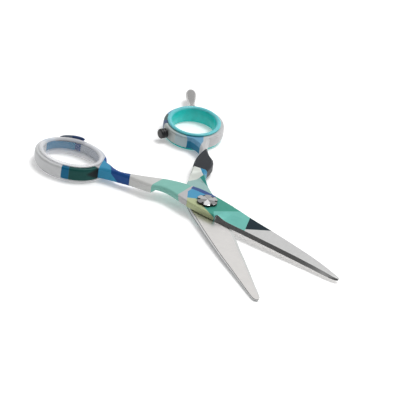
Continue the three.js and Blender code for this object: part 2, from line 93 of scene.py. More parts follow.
thickness = curve([(-20, 2.25), (-12, 2.5), (-7, BOSS_T), (9, BOSS_T), (14, 2.6), (22, 2.45), (30, 2.3), (45, 1.9), (60, 1.45), (69, 1.06)])
bevelTop = curve([(9, 2.62), (9.6, 2.5), (11.0, 2.1), (12.8, 1.65), (15, 1.5), (45, 1.45), (62, 1.15), (69, 0.85)])

def fillet(pts, spec):
    """Closed outline pts with corner i rounded by spec[i] = (radius, pieces); pieces 0 keeps the corner."""
    out, n = [], len(pts)
    for i, p in enumerate(pts):
        r, k = spec[i]
        if not k:
            out.append(p); continue
        a, b = pts[i - 1], pts[(i + 1) % n]
        la = math.hypot(a[0] - p[0], a[1] - p[1]) or 1e-6; lb = math.hypot(b[0] - p[0], b[1] - p[1]) or 1e-6
        t = min(r, 0.45 * la, 0.45 * lb)
        q0 = (p[0] + (a[0] - p[0]) / la * t, p[1] + (a[1] - p[1]) / la * t); q1 = (p[0] + (b[0] - p[0]) / lb * t, p[1] + (b[1] - p[1]) / lb * t)
        for j in range(k + 1):
            u = j / k
            out.append(tuple((1 - u) ** 2 * q0[c] + 2 * u * (1 - u) * p[c] + u * u * q1[c] for c in (0, 1)))
    return out

def section(half, s):
    sign = half.sign; wi, wo = half.inner(s), half.outer(s); W = wi - wo
    c, k = math.cos(rad(half.turn)), math.sin(rad(half.turn))
    kHigh = step(-16, -30, s); kOut = ramp(*half.stepOuter, s); kIn = ramp(*half.stepInner, s)
    T = thickness(s); shank = step(-6, -20, s); blade = s > 9.3
    rnd = min(0.95, W * 0.3)
    cBot = 0.0 if blade else mix(0.12, rnd, kOut); cBotIn = 0.1 if blade else mix(0.12, rnd, kIn)
    cTop = mix(0.5, rnd, shank)
    def place(w, blue_lower_painted_shade, high, kLow):
        v = sign * w; x = s * c - v * k; pz = planeZ(x)
        zl = mix(pz + sign * GAP, half.lowZ(s), kLow); zh = mix(pz + sign * T, half.highZ(s), kHigh)
        return (v, zl + sign * blue_lower_painted_shade if high is None else zh - sign * high)
    wFlat = mix(wo, wi, 0.5) if blade else min(wi - cBotIn - 0.35, max(wo + cBot + 0.35, -half.other.inner(s) - 0.7))
    hollow = 0.05 * step(11, 16, s) * (1 - step(60, 67, s)) if blade else 0.0
    ride = mix(wo + cBot, wFlat, 0.2)
    p = [place(wo + cBot, 0, None, kOut), place(ride, 0, None, mix(kOut, kIn, 0.2)), place(wFlat, hollow, None, kIn), place(wi - cBotIn, 0, None, kIn), place(wi, cBotIn, None, kIn)]
    cSp = min(0.75, W * 0.2) if blade else cTop
    p += [place(wi, None, min(0.75, T * 0.45) if blade else cTop, kIn), place(wi - cSp, None, 0, kIn)]
    if blade:
        bt = min(bevelTop(s), T * 0.95 if s < 14 else T * 0.8); bw = min(1.25, W * 0.28)
        w3 = wi - cSp; w7 = wo + bw; h7 = T - bt; cr = ramp(9.3, 20.5, s)
        wC = mix(mix(w7, w3, 0.42), mix(w7, w3, 0.72), cr); hC = mix(0, h7 * 0.25, step(0.75, 1, cr))
        wF = mix(mix(w7, w3, 0.14), mix(w7, w3, 0.36), cr); hF = mix(h7 * 0.86, h7 * 0.62, cr)
        p += [place(wC, None, hC, kIn), place(wF, None, hF, kOut), place(w7, None, h7, kOut), place(mix(wo, w7, 0.5), mix(0.03, bt - GAP, 0.5), None, kOut), place(wo, 0.05, None, kOut)]
        spec = [(0, 0), (0, 0), (0, 0), (0.05, 2), (0.05, 2), (0.12, 3), (0.12, 3), (0.1, 3), (0.1, 3), (0.06, 3), (0, 0), (0.02, 2)]
    else:
        p += [place(mix(wo, wi, 0.62), None, 0, kIn), place(mix(wo, wi, 0.38), None, 0, kOut), place(wo + cTop, None, 0, kOut), place(wo, None, cTop, kOut), place(wo, cBot, None, kOut)]
        r = mix(0.2, 0.9, shank)
        spec = [(0, 0), (0, 0), (0, 0), (0.3, 2), (0.3, 2), (r, 3), (r, 3), (0.3, 3), (0.3, 3), (r, 3), (r, 0), (0.4, 2)]
        spec[9] = (r, 3)
    q = fillet(p, spec)
    return [(s * c - v * k, s * k + v * c, z) for v, z in q]

# ------------------------------------------------------------------ mesh helpers
def new_object(name, verts, faces):
    me = bpy.data.meshes.new(name)
    me.from_pydata([tuple((Vector(v) + OFF) * 0.001) for v in verts], [], faces)
    me.validate()
    ob = bpy.data.objects.new(name, me)
    scene.collection.objects.link(ob)
    bm = bmesh.new(); bm.from_mesh(me)
    bmesh.ops.recalc_face_normals(bm, faces=bm.faces)
    bm.to_mesh(me); bm.free()
    return ob

def loft(name, rings, closed=False):
    n, R = len(rings[0]), len(rings)
    verts = [p for r in rings for p in r]
    faces = []
    for r in range(R if closed else R - 1):
        q = (r + 1) % R
        faces += [(r * n + i, r * n + (i + 1) % n, q * n + (i + 1) % n, q * n + i) for i in range(n)]
    if not closed:
        faces += [tuple(reversed(range(n))), tuple(range((R - 1) * n, R * n))]
    return new_object(name, verts, faces)

def oval(cx, cy, turn, profile, steps, a, b, outward=None):
    rings = []
    for i in range(steps):
        f = 2 * math.pi * i / steps
        nx, ny = math.cos(f) / a, math.sin(f) / b; l = math.hypot(nx, ny); nx /= l; ny /= l
        ring = []
        grow = outward(math.degrees(turn + math.atan2(b * math.sin(f), a * math.cos(f)))) if outward else 1.0
        for o, z in profile:
            o = o * grow if o > 0 else o
            px, py = a * math.cos(f) + nx * o, b * math.sin(f) + ny * o
            ring.append((cx + px * math.cos(turn) - py * math.sin(turn), cy + px * math.sin(turn) + py * math.cos(turn), z))
        rings.append(ring)
    return rings

def lathe(name, prof, seg, M):
    """prof: (radius, z) from the axis round to the axis, or a closed loop off the axis; M places it, in pivot-centred mm."""
    closed = all(r > 1e-4 for r, _ in prof)
    verts, faces = [], []
    n = len(prof)
    idx = []
    for j in range(seg):
        f = 2 * math.pi * j / seg; col = []
        for i, (r, z) in enumerate(prof):
            if r <= 1e-4:
                if j == 0: verts.append(M @ Vector((0, 0, z))); col.append(len(verts) - 1)
                else: col.append(idx[0][i])
            else:
                verts.append(M @ Vector((r * math.cos(f), r * math.sin(f), z))); col.append(len(verts) - 1)
        idx.append(col)
    for j in range(seg):
        a, b = idx[j], idx[(j + 1) % seg]
        for i in range(n if closed else n - 1):
            q = [a[i], a[(i + 1) % n], b[(i + 1) % n], b[i]]
            u = []
            for v in q:
                if v not in u: u.append(v)
            if len(u) > 2: faces.append(tuple(u))
    return new_object(name, verts, faces)

def smooth_profile(pts, spec):
    """Open profile: the ends stay, inner corners are rounded."""
    return fillet(pts, [(0, 0)] + [spec] * (len(pts) - 2) + [(0, 0)])

def boolean(ob, tool, op):
    m = ob.modifiers.new("b", "BOOLEAN"); m.operation = op; m.object = tool; m.solver = "EXACT"
    dg = bpy.context.evaluated_depsgraph_get()
    me = bpy.data.meshes.new_from_object(ob.evaluated_get(dg))
    ob.modifiers.clear(); old = ob.data; ob.data = me; bpy.data.meshes.remove(old)
    t = tool.data; bpy.data.objects.remove(tool); bpy.data.meshes.remove(t)
    return ob

def finish_mesh(ob, angle=28, weld=0.000004, crease=None):
    bm = bmesh.new(); bm.from_mesh(ob.data)
    bmesh.ops.remove_doubles(bm, verts=bm.verts, dist=weld)
    bmesh.ops.dissolve_degenerate(bm, edges=bm.edges, dist=weld)
    bmesh.ops.recalc_face_normals(bm, faces=bm.faces)
    for f in bm.faces: f.smooth = True
    for e in bm.edges:
        e.smooth = not ((len(e.link_faces) == 2 and e.calc_face_angle(0) > rad(angle)) or (crease and crease(e)))
    bm.to_mesh(ob.data); bm.free()
    w = ob.modifiers.new("wn", "WEIGHTED_NORMAL"); w.keep_sharp = True; w.weight = 50
    dg = bpy.context.evaluated_depsgraph_get()
    me = bpy.data.meshes.new_from_object(ob.evaluated_get(dg))
    ob.modifiers.clear(); old = ob.data; ob.data = me; bpy.data.meshes.remove(old)
    return ob

PM = Matrix.Translation((0, 0, PIVOT_Z)) @ Matrix.Rotation(math.atan(SLOPE), 4, "Y")
I4 = Matrix.Identity(4)
def disc(name, r, z0, z1, seg=96, M=PM): return lathe(name, [(0, z0), (r, z0), (r, z1), (0, z1)], seg, M)
def keyed(name, r, flat, z0, z1, M=PM, seg=96):
    ob = disc(name, r, z0, z1, seg, M)
    L = 4 * r; H = flat
    box = new_object(name + "_box", [M @ Vector((x, y, z)) for x in (-L, L) for y in (-H, H) for z in (z0 - 1, z1 + 1)],
                     [(0, 1, 3, 2), (4, 6, 7, 5), (0, 4, 5, 1), (2, 3, 7, 6), (0, 2, 6, 4), (1, 5, 7, 3)])
    return boolean(ob, box, "INTERSECT")

# ------------------------------------------------------------------ rings
RING_A, RING_B, BAND_OUT, BAND_IN, RING_BOTTOM, RING_TOP, INSERT_H = 15.0, 12.2, 1.55, 1.5, 1.05, 6.5, 7.6
def ring_place(half, s, v, turn):
    t = rad(half.turn); c, k = math.cos(t), math.sin(t)
    return (s * c - v * k, s * k + v * c, t + rad(turn))
TP = ring_place(THUMB, -64.32, -14.04, 3.95)
FP = ring_place(FINGER, -72.31, 16.55, -20.19)
BAND = [(BAND_OUT - 0.55, RING_BOTTOM), (BAND_OUT - 0.12, RING_BOTTOM + 0.7), (BAND_OUT, (RING_TOP + RING_BOTTOM) / 2), (BAND_OUT - 0.12, RING_TOP - 0.7),
        (BAND_OUT - 0.55, RING_TOP), (-BAND_IN + 0.25, RING_TOP), (-BAND_IN, RING_TOP - 0.25), (-BAND_IN, RING_BOTTOM + 0.25), (-BAND_IN + 0.25, RING_BOTTOM)]
BAND_R = fillet(BAND, [(0.35, 3), (0.4, 3), (0.8, 2), (0.4, 3), (0.35, 3), (0.12, 2), (0.12, 2), (0.12, 2), (0.12, 2)])
INSERT = [(-1.6, 0.93), (-1.6, 6.56), (-0.3, 6.6), (-0.08, 7.1), (-0.6, INSERT_H), (-1.45, INSERT_H), (-2.15, 7.0),
          (-2.5, 3.8), (-2.15, 0.6), (-1.45, 0), (0.2, 0), (0.68, 0.45), (0.5, 0.93)]
INSERT_R = fillet(INSERT, [(0.03, 1), (0.03, 1), (0.1, 2), (0.35, 4), (0.35, 4), (0.4, 4), (0.5, 4), (1.5, 4), (0.5, 4), (0.4, 4), (0.35, 4), (0.35, 4), (0.1, 2)])
STEPS = 160

def radial(p, direction, z):
    d = rad(direction); rel = d - p[2]; a, b = RING_A + BAND_OUT, RING_B + BAND_OUT
    r = 1 / math.hypot(math.cos(rel) / a, math.sin(rel) / b)
    out = Vector((math.cos(d), math.sin(d), 0)); up = Vector((0, 0, 1)); side = up.cross(out)
    M = Matrix((side, up, out)).transposed().to_4x4()
    return Matrix.Translation((p[0] + out.x * r, p[1] + out.y * r, z)) @ M
TANG_F, BUMP_F = radial(FP, 148.7, 4.0), radial(FP, -89.3, 3.8)

# ------------------------------------------------------------------ the two halves
def frange(a, b, d):
    n = max(1, round((b - a) / d)); return [a + (b - a) * i / n for i in range(n)]
def stations(lo, tip, t0):
    return frange(lo, 9.24, 0.6) + [9.24, 9.36] + frange(9.6, 14, 0.25) + frange(14, t0, 0.8) + frange(t0, tip, 0.14) + [tip]

def swell(direction):
    """The raised boss outside the thumb ring's band."""
    return 1 + 1.9 / BAND_OUT * math.exp(-(((direction - 145 + 540) % 360 - 180) ** 2) / (2 * 11 ** 2))
def half_mesh(name, half, st, rp, outward=None):
    ob = loft(name, [section(half, s) for s in st])
    o = -0.5
    prism = loft(name + "_cut", [[(x, y, z) for (x, y, _) in [r[0] for r in oval(*rp, [(o, 0)], STEPS, RING_A, RING_B)]] for z in (-3, 12)])
    boolean(ob, prism, "DIFFERENCE")
    band = loft(name + "_band", oval(*rp, BAND_R, STEPS, RING_A, RING_B, outward), True)
    boolean(ob, band, "UNION")
    return ob

thumb = half_mesh("thumb_half_forged", THUMB, stations(-51, 69.3, 66), TP, swell)
hump = [(math.sin(math.pi * i / 20), -math.cos(math.pi * i / 20)) for i in range(21)]
hump[0], hump[-1] = (0, -1), (0, 1)
boolean(thumb, lathe("t0", hump, 48, radial(TP, 147.5, 6.05) @ Matrix.Translation((0, 0, 0.4)) @ Matrix.Diagonal((5.5, 1.45, 1.0, 1))), "UNION")
boolean(thumb, disc("t1", 2.80, -1, 4), "DIFFERENCE")
boolean(thumb, disc("t2", 3.95, 1.6, 5), "DIFFERENCE")
finger = half_mesh("finger_half_forged", FINGER, stations(-59, 68.35, 65), FP)
boolean(finger, disc("t3", 2.05, -5, 1), "DIFFERENCE")
boolean(finger, keyed("t4", 4.06, 3.56, -4, -BOSS_T + 1.18), "DIFFERENCE")
boolean(finger, disc("t5", 5.0, -0.44, 1), "DIFFERENCE")
boolean(finger, lathe("t6", [(0, -2.5), (1.06, -2.5), (1.06, 2), (0, 2)], 48, TANG_F), "DIFFERENCE")
boolean(finger, lathe("t7", [(0, -2.3), (0.86, -2.3), (0.86, 2), (0, 2)], 48, BUMP_F), "DIFFERENCE")
finish_mesh(thumb); finish_mesh(finger)

thumb_insert = finish_mesh(loft("thumb_ring_liner", oval(*TP, INSERT_R, STEPS, RING_A, RING_B), True))
finger_insert = finish_mesh(loft("finger_ring_liner", oval(*FP, INSERT_R, STEPS, RING_A, RING_B), True))

# ------------------------------------------------------------------ tang, o-ring, bumper
TANG = [(0, -2.3), (1.0, -2.3), (1.0, 0.80), (1.95, 0.82), (2.1, 1.0), (2.1, 2.0), (1.85, 3.0), (1.58, 4.6), (1.45, 6.4), (1.5, 7.8), (1.8, 10), (2.15, 12.6), (2.4, 15), (2.48, 16.4), (2.36, 17.8),
        (1.95, 19.1), (1.25, 20.1), (0.6, 20.48), (0, 20.6)]
tang = finish_mesh(lathe("finger_rest_turned", smooth_profile(TANG, (0.5, 4)), 64, TANG_F))
oring = finish_mesh(lathe("finger_rest_seal_ring", [(1.38 + 0.3 * math.cos(2 * math.pi * i / 24), 0.47 + 0.3 * math.sin(2 * math.pi * i / 24)) for i in range(24)], 64, TANG_F))
BR, BL = 2.2, 3.6
BUMP = [(0.85, 0.32), (BR - 0.15, 0.32), (BR, 0.5), (BR, 0.95), (BR - 0.28, 1.1), (BR - 0.28, 1.35), (BR, 1.5), (BR, 2.15), (BR - 0.28, 2.3),
        (BR - 0.28, 2.55), (BR, 2.7), (BR, 3.2), (BR - 0.35, BL), (0, BL), (0, 2.75), (1.25, 2.55), (1.25, 2.1), (0.85, 1.9)]
bump_in = fillet(BUMP, [(0.05, 0), (0.1, 3), (0.1, 3), (0.1, 3), (0.1, 2), (0.1, 2), (0.1, 3), (0.1, 3), (0.1, 2), (0.1, 2), (0.1, 3), (0.2, 4), (0.25, 4), (0, 0), (0, 0), (0, 0), (0, 0), (0, 0)])
# the loop touches the axis twice, so it is cut there: outer wall from the axis to the bore's mouth and back along the bore
start = bump_in.index((0, 2.75))
bump_loop = bump_in[start:] + bump_in[:start]
bumper = finish_mesh(lathe("rubber_bumper", bump_loop, 64, BUMP_F))

# ------------------------------------------------------------------ tension dial
DIAL_R, LOBE, Z0, DT, LOBES, PHASE = 4.52, 0.7, 2.92, 1.15, 6, rad(-38)
def dial_radius(f): return DIAL_R - LOBE * (0.5 - 0.5 * math.cos(LOBES * f)) ** 3
def dial_top(r, f): return Z0 + DT - 0.44 * r * max(math.cos(f - rad(60 * k)) for k in range(6)) / ((DIAL_R + 0.8) * math.cos(rad(30)))
N = 240
verts, faces = [PM @ Vector((0, 0, Z0 + 0.8)), PM @ Vector((0, 0, Z0 + DT))], []
rows = []
def dial_row(fn):
    row = []
    for i in range(N):
        f = 2 * math.pi * i / N; r, z = fn(f)
        verts.append(PM @ Vector((r * math.cos(f + PHASE), r * math.sin(f + PHASE), z))); row.append(len(verts) - 1)
    rows.append(row)
for r, z in ((1.92, Z0 + 0.8), (1.92, Z0 + 0.06), (1.98, Z0)): dial_row(lambda f: (r, z))
for o, z in ((0.30, Z0), (0.06, Z0 + 0.10), (0.0, Z0 + 0.22)): dial_row(lambda f: (dial_radius(f) - o, z))
for o, d in ((0.0, 0.17), (0.03, 0.08), (0.12, 0.015), (0.26, 0.0)): dial_row(lambda f: (dial_radius(f) - o, dial_top(dial_radius(f) - o, f) - d))
for q in (0.8, 0.55, 0.3): dial_row(lambda f: (dial_radius(f) * q, dial_top(dial_radius(f) * q, f)))
for i in range(N):
    j = (i + 1) % N
    faces.append((0, rows[0][j], rows[0][i])); faces.append((1, rows[-1][i], rows[-1][j]))
    faces += [(a[i], a[j], b[j], b[i]) for a, b in zip(rows, rows[1:])]
ridge = lambda co: abs(((math.degrees(math.atan2(*reversed((PM.inverted() @ (co * 1000 - OFF)).xy)) - PHASE) + 30) % 60) - 0) < 0.3 or abs(((math.degrees(math.atan2(*reversed((PM.inverted() @ (co * 1000 - OFF)).xy)) - PHASE) + 30) % 60) - 60) < 0.3
dial = new_object("tension_dial_faceted", verts, faces)
finish_mesh(dial, 34, crease=lambda e: all(ridge(v.co) or (PM.inverted() @ (v.co * 1000 - OFF)).xy.length < 0.01 for v in e.verts) and any((PM.inverted() @ (v.co * 1000 - OFF)).xy.length > 0.01 for v in e.verts) and all((v.co.z * 1000 - OFF.z) > PIVOT_Z + Z0 + 0.5 for v in e.verts))

# ------------------------------------------------------------------ node helpers
def lin(c):
    return tuple(((v / 255) / 12.92 if v / 255 <= 0.04045 else ((v / 255 + 0.055) / 1.055) ** 2.4) for v in c)
class Mat:
    def __init__(self, name, slot=None):
        self.m = bpy.data.materials.new(name); self.m.use_nodes = True
        self.nt = self.m.node_tree; self.b = self.nt.nodes["Principled BSDF"]
        tc = self.nt.nodes.new("ShaderNodeTexCoord")
        s = self.nt.nodes.new("ShaderNodeVectorMath"); s.operation = "SCALE"; s.inputs[3].default_value = 1000.0
        self.link(tc.outputs["Object"], s.inputs[0]); self.p = s.outputs[0]
    def link(self, a, b): self.nt.links.new(a, b)
    def put(self, sock, v):
        if isinstance(v, bpy.types.NodeSocket): self.link(v, sock)
        else: sock.default_value = v
    def math(self, op, a, b=0.0, clamp=False):
        n = self.nt.nodes.new("ShaderNodeMath"); n.operation = op; n.use_clamp = clamp
        self.put(n.inputs[0], a); self.put(n.inputs[1], b); return n.outputs[0]
    def plane(self, point, normal, soft=0.10):
        """1 where (p - point).normal > 0, in row-frame mm."""
        n = Vector(normal).normalized(); d = n.dot(Vector(point))
        v = self.nt.nodes.new("ShaderNodeVectorMath"); v.operation = "DOT_PRODUCT"
        self.link(self.p, v.inputs[0]); v.inputs[1].default_value = n
        return self.math("ADD", self.math("MULTIPLY", self.math("SUBTRACT", v.outputs["Value"], d), 1 / soft), 0.5, True)
    def line(self, a, b, towards, soft=0.10):
        """1 on the side of the plan line a-b where the point `towards` lies."""
        a, b, t = Vector((*a[:2], 0)), Vector((*b[:2], 0)), Vector((*towards[:2], 0))
        n = Vector((-(b - a).y, (b - a).x, 0))
        if n.dot(t - a) < 0: n = -n
        return self.plane(a, n, soft)
    def both(self, *ms):
        r = ms[0]
        for m in ms[1:]: r = self.math("MULTIPLY", r, m)
        return r
    def inv(self, a): return self.math("SUBTRACT", 1.0, a)
    def either(self, a, b): return self.math("MAXIMUM", a, b)
    def mixc(self, f, a, b):
        n = self.nt.nodes.new("ShaderNodeMix"); n.data_type = "RGBA"; n.clamp_factor = True
        self.put(n.inputs[0], f)
        for s, v in ((n.inputs[6], a), (n.inputs[7], b)):
            if isinstance(v, bpy.types.NodeSocket): self.link(v, s)
            else: s.default_value = (*v[:3], 1)
        return n.outputs[2]
    def mixf(self, f, a, b):
        n = self.nt.nodes.new("ShaderNodeMix"); n.data_type = "FLOAT"
        self.put(n.inputs[0], f); self.put(n.inputs[2], a); self.put(n.inputs[3], b); return n.outputs[0]
    def noise(self, scale, detail=2.0, vec=None, rough=0.5):
        n = self.nt.nodes.new("ShaderNodeTexNoise"); n.inputs["Scale"].default_value = scale; n.inputs["Detail"].default_value = detail
        n.inputs["Roughness"].default_value = rough
        self.link(vec or self.p, n.inputs["Vector"]); return n.outputs["Fac"]
    def stretched(self, angle, across, along):
        """Coordinates turned by -angle about Z, then scaled: fast across x, slow along y of the turned frame (or the other way)."""
        mp = self.nt.nodes.new("ShaderNodeMapping"); mp.vector_type = "POINT"
        mp.inputs["Rotation"].default_value = (0, 0, -angle)
        self.link(self.p, mp.inputs["Vector"])
        sc = self.nt.nodes.new("ShaderNodeVectorMath"); sc.operation = "MULTIPLY"; sc.inputs[1].default_value = (along, across, 1.0)
        self.link(mp.outputs[0], sc.inputs[0]); return sc.outputs[0]
    def bump(self, height, strength, distance=0.00002, normal=None):
        n = self.nt.nodes.new("ShaderNodeBump"); n.inputs["Strength"].default_value = strength; n.inputs["Distance"].default_value = distance
        self.link(height, n.inputs["Height"])
        if normal is not None: self.link(normal, n.inputs["Normal"])
        return n.outputs[0]
    def wedge(self, centre, a0, a1):
        """1 where the direction from the centre lies between a0 and a1 degrees, anticlockwise, less than a half turn."""
        d0 = Vector((math.cos(rad(a0)), math.sin(rad(a0)))); d1 = Vector((math.cos(rad(a1)), math.sin(rad(a1))))
        return self.both(self.plane((*centre, 0), (-d0.y, d0.x, 0)), self.plane((*centre, 0), (d1.y, -d1.x, 0)))
    def set(self, name, v): self.put(self.b.inputs[name], v)
    def vary(self, col, amount, scale, seedvec=None):
        """Brightens and darkens a colour a little by noise."""
        f = self.noise(scale, 3, seedvec)
        k = self.math("ADD", self.math("MULTIPLY", self.math("SUBTRACT", f, 0.5), 2 * amount), 1.0)
        n = self.nt.nodes.new("ShaderNodeVectorMath"); n.operation = "SCALE"
        self.link(col, n.inputs[0]) if isinstance(col, bpy.types.NodeSocket) else setattr(n.inputs[0], "default_value", col[:3])
        self.link(k, n.inputs[3]); return n.outputs[0]

GAIN = 1.05
def C(*rgb, g=1.0): return tuple(min(0.92, v * GAIN * g) for v in lin(rgb))
A_THUMB, A_FINGER = rad(HALF_OPEN), rad(-HALF_OPEN)
TC = (TP[0] + OFF.x, TP[1] + OFF.y); FC = (FP[0] + OFF.x, FP[1] + OFF.y)
STEEL = (0.80, 0.80, 0.79)

def grain(M, extra=None):
    """Fine orange-peel of the film coat."""
    return M.bump(M.noise(5.0, 3), 0.18, 0.00001, extra)

# --- thumb half: printed patchwork film with one painted shade patch at the band-shank corner, ending in bare brushed steel
M = Mat("printed_film_and_painted_shade_thumb_half")
col = C(176, 176, 177)
col = M.mixc(M.wedge(TC, 126, 160), col, C(52, 83, 138))
col = M.mixc(M.wedge(TC, 140, 200), col, C(73, 138, 176))
col = M.mixc(M.wedge(TC, 200, 312.8), col, C(202, 203, 204))
col = M.mixc(M.wedge(TC, 43, 126), col, C(185, 189, 197))
col = M.mixc(M.wedge(TC, 312.8, 326.3), col, C(17, 99, 137))
col = M.mixc(M.wedge(TC, 326.3, 374), col, C(23, 75, 71))
top = M.plane((0, 0, 5.9), (0, 0, 1))
col = M.mixc(M.both(M.wedge(TC, 147, 180), top), col, C(92, 102, 116))
col = M.mixc(M.both(M.wedge(TC, 120, 148), top), col, C(52, 70, 106))
# Painted shade: near-black on the lower band wall where the band curves into the shank, standing for the dark
# reflection in that concave corner.
band_junction_painted_shade = M.both(M.plane((-26.92, -38.35, 4.33), (1.56, 0.975, -2.23), 1.0), M.plane((-26.92, -38.35, 4.33), (2.08, 1.3, 2.61), 1.0), M.wedge(TC, -20, 16))
col = M.mixc(band_junction_painted_shade, col, C(26, 34, 36))
t3 = M.line((-27.0, -32.6), (-31.9, -27.5), (-20, -25))
col = M.mixc(t3, col, C(51, 138, 175))
t4 = M.both(t3, M.either(M.line((-30.29, -26.87), (-26.49, -27.03), (-28, -20)), M.both(M.line((-26.49, -27.03), (-22.52, -29.1), (-18, -22)), M.either(M.plane((-22.52, -29.1, 5.18), (1.767, -0.684, 1.245)), M.plane((0, 0, 5.1), (0, 0, 1))))))
col = M.mixc(t4, col, C(31, 74, 137))
t5 = M.line((-17.51, -22.65), (-15.26, -24.44), (0, 0)); col = M.mixc(t5, col, C(199, 199, 197))
t6 = M.line((-8.52, -11.93), (-5.6, -19.7), (10, -5)); col = M.mixc(t6, col, C(128, 186, 174))
t7 = M.either(M.both(M.line((1.31, -3.82), (4.59, -11.61), (15, 0)), M.plane((0, 0, 6.3), (0, 0, 1))), M.both(M.plane((6.2, -13.5, 6.2), (0.9, 0.35, 0.3)), M.plane((0, 0, 6.3), (0, 0, -1)))); col = M.mixc(t7, col, C(184, 183, 184))
wby = M.plane((4.73, -8.17, 0), (0.588, 0.809, 0)); t8 = M.both(wby, M.line((2.9, -4.3), (4.73, -8.17), (15, 0))); col = M.mixc(t8, col, C(71, 148, 187))
t9 = M.both(M.line((3.24, -5.39), (8.38, -3.14), (5, 5)), M.line((2.0, -3.9), (4.73, -8.17), (15, 0)), M.plane((13, 0, 0), (-1, 0, 0))); col = M.mixc(t9, col, C(56, 83, 137))
tg = M.both(wby, M.plane((13.0, 0, 0), (1, -0.25, 0))); col = M.mixc(tg, col, C(66, 151, 134))
ty = M.both(wby, M.line((9.08, -11.33), (11.38, -7.94), (15, -12)), M.plane((13.37, -8.52, 6.5), (-0.126, -0.992, -0.87))); col = M.mixc(ty, col, C(177, 186, 144))
tf = M.both(M.line((22.67, -6.23), (25.84, 2.49), (26, -4)), M.line((21.37, -6.28), (24.4, -8.2), (26, -4))); col = M.mixc(tf, col, C(109, 184, 174))
nab = M.plane((32.19, 4.69, 0), (0.741, 0.671, 0), 0.08); nbc = M.plane((37.51, -1.18, 0), (-0.844, 0.536, 0), 0.08)
navy = M.both(nab, nbc); bare = M.both(nab, M.inv(nbc))
col = M.mixc(navy, col, C(11, 35, 46))
coat = M.vary(M.vary(col, 0.07, 0.35), 0.10, 7.0)
brush = M.noise(1.0, 3, M.stretched(A_THUMB, 0.55, 9.0), 0.6)
steel = M.vary(M.mixc(brush, (0.54, 0.54, 0.538), (0.74, 0.74, 0.737)), 0.05, 0.3)
M.set("Base Color", M.mixc(bare, coat, steel))
M.set("Metallic", M.mixf(bare, 0.12, 1.0))
M.set("Roughness", M.mixf(bare, 0.40, M.math("ADD", 0.26, M.math("MULTIPLY", brush, 0.12))))
M.set("Coat Weight", 0.05); M.b.inputs["Coat Roughness"].default_value = 0.2; M.b.inputs["Specular IOR Level"].default_value = 0.14
nrm = M.bump(M.math("MULTIPLY", brush, bare), 0.35, 0.00001)
M.set("Normal", grain(M, nrm))
film_and_shade_thumb = M.m

# --- finger half: printed film, with painted shade on the lower blue wall, the handle ramp and the bare steel wall
M = Mat("printed_film_and_painted_shade_finger_half")
col = C(190, 190, 191)
col = M.mixc(M.wedge(FC, -163.5, -120), col, C(81, 99, 98))
col = M.mixc(M.wedge(FC, -121, -105.6), col, C(72, 89, 122))
col = M.mixc(M.wedge(FC, -105.6, -65.6), col, C(179, 186, 183))
pale = M.both(M.line((-43.35, 17.13), (-49.6, 30.9), (-30, 15)), M.plane((-24, 17, 0), (-0.3, -1, 0)))
col = M.mixc(pale, col, C(170, 188, 192))
blue = M.both(M.line((-40.1, 20.05), (-20.9, 16.3), (-30, 25)), M.line((-20.9, 16.3), (-32.2, 24.3), (-36, 18)), M.line((-32.2, 24.3), (-36.0, 29.0), (-45, 20)))
col = M.mixc(blue, col, C(104, 156, 188))
# Painted shade: the blue patch is darker below z 4.9, where the crowned band wall turns downwards.
blue_lower_painted_shade = M.both(blue, M.plane((0, 0, 4.9), (0, 0, -1), 0.6))
col = M.mixc(blue_lower_painted_shade, col, C(19, 109, 143))
ch = M.both(M.line((-23.28, 16.78), (-25.29, 20.55), (0, 0)), M.plane((-34.9, 9.3, 0), (0.959, -0.283, 0))); col = M.mixc(ch, col, C(38, 41, 47))
gr = M.plane((-13.54, 7.74, 0), (0.552, -0.834, 0)); col = M.mixc(gr, col, C(212, 216, 210))
bs = M.both(gr, M.line((-11.44, 8.94), (-3.65, 6.22), (-8, 12))); col = M.mixc(bs, col, C(53, 135, 174))
mt = M.plane((-6.2, 3.0, 0), (1, 0.02, 0)); col = M.mixc(mt, col, C(150, 184, 180))
# The deeper teal on the ramp face up to the thick handle is partly a deeper teal print, partly painted shade of the
# steep slope.
ramp_teal_and_painted_shade = M.both(mt, M.line((-6.04, 5.39), (-0.28, 5.05), (-3, 12))); col = M.mixc(ramp_teal_and_painted_shade, col, C(55, 146, 137))
bareF = M.either(M.plane((25.0, -5, 0), (0.95, -0.3, 0)), M.both(M.plane((10, 0, 0), (1, 0, 0)), M.plane((15.01, 0, 1.25), (0.0394, 0, 1))))
coat = M.vary(M.vary(col, 0.07, 0.35), 0.10, 7.0)
brush = M.noise(1.0, 3, M.stretched(A_FINGER, 0.55, 9.0), 0.6)
steel = M.vary(M.mixc(brush, (0.50, 0.50, 0.50), (0.68, 0.68, 0.68)), 0.04, 0.3)
# Painted shade: the bare steel wall of the finger blade is darkened below a line along the blade, and near-black above
# the cutting plane.
upper = M.plane((15.01, -5.36, 2.069), (0.0252, 0.00419, 1), 0.25)
wall = M.mixc(upper, (0.20, 0.215, 0.22), steel)
wall = M.mixc(M.plane((15.01, 0, 3.40), (0.0394, 0, 1), 0.10), wall, (0.07, 0.07, 0.072))
M.set("Base Color", M.mixc(bareF, coat, wall))
M.set("Metallic", M.mixf(bareF, 0.12, 1.0))
M.set("Roughness", M.mixf(bareF, 0.40, M.math("ADD", 0.26, M.math("MULTIPLY", brush, 0.12))))
M.set("Coat Weight", 0.05); M.b.inputs["Coat Roughness"].default_value = 0.2; M.b.inputs["Specular IOR Level"].default_value = 0.14
M.set("Normal", grain(M, M.bump(M.math("MULTIPLY", brush, bareF), 0.35, 0.00001)))
film_and_shade_finger = M.m

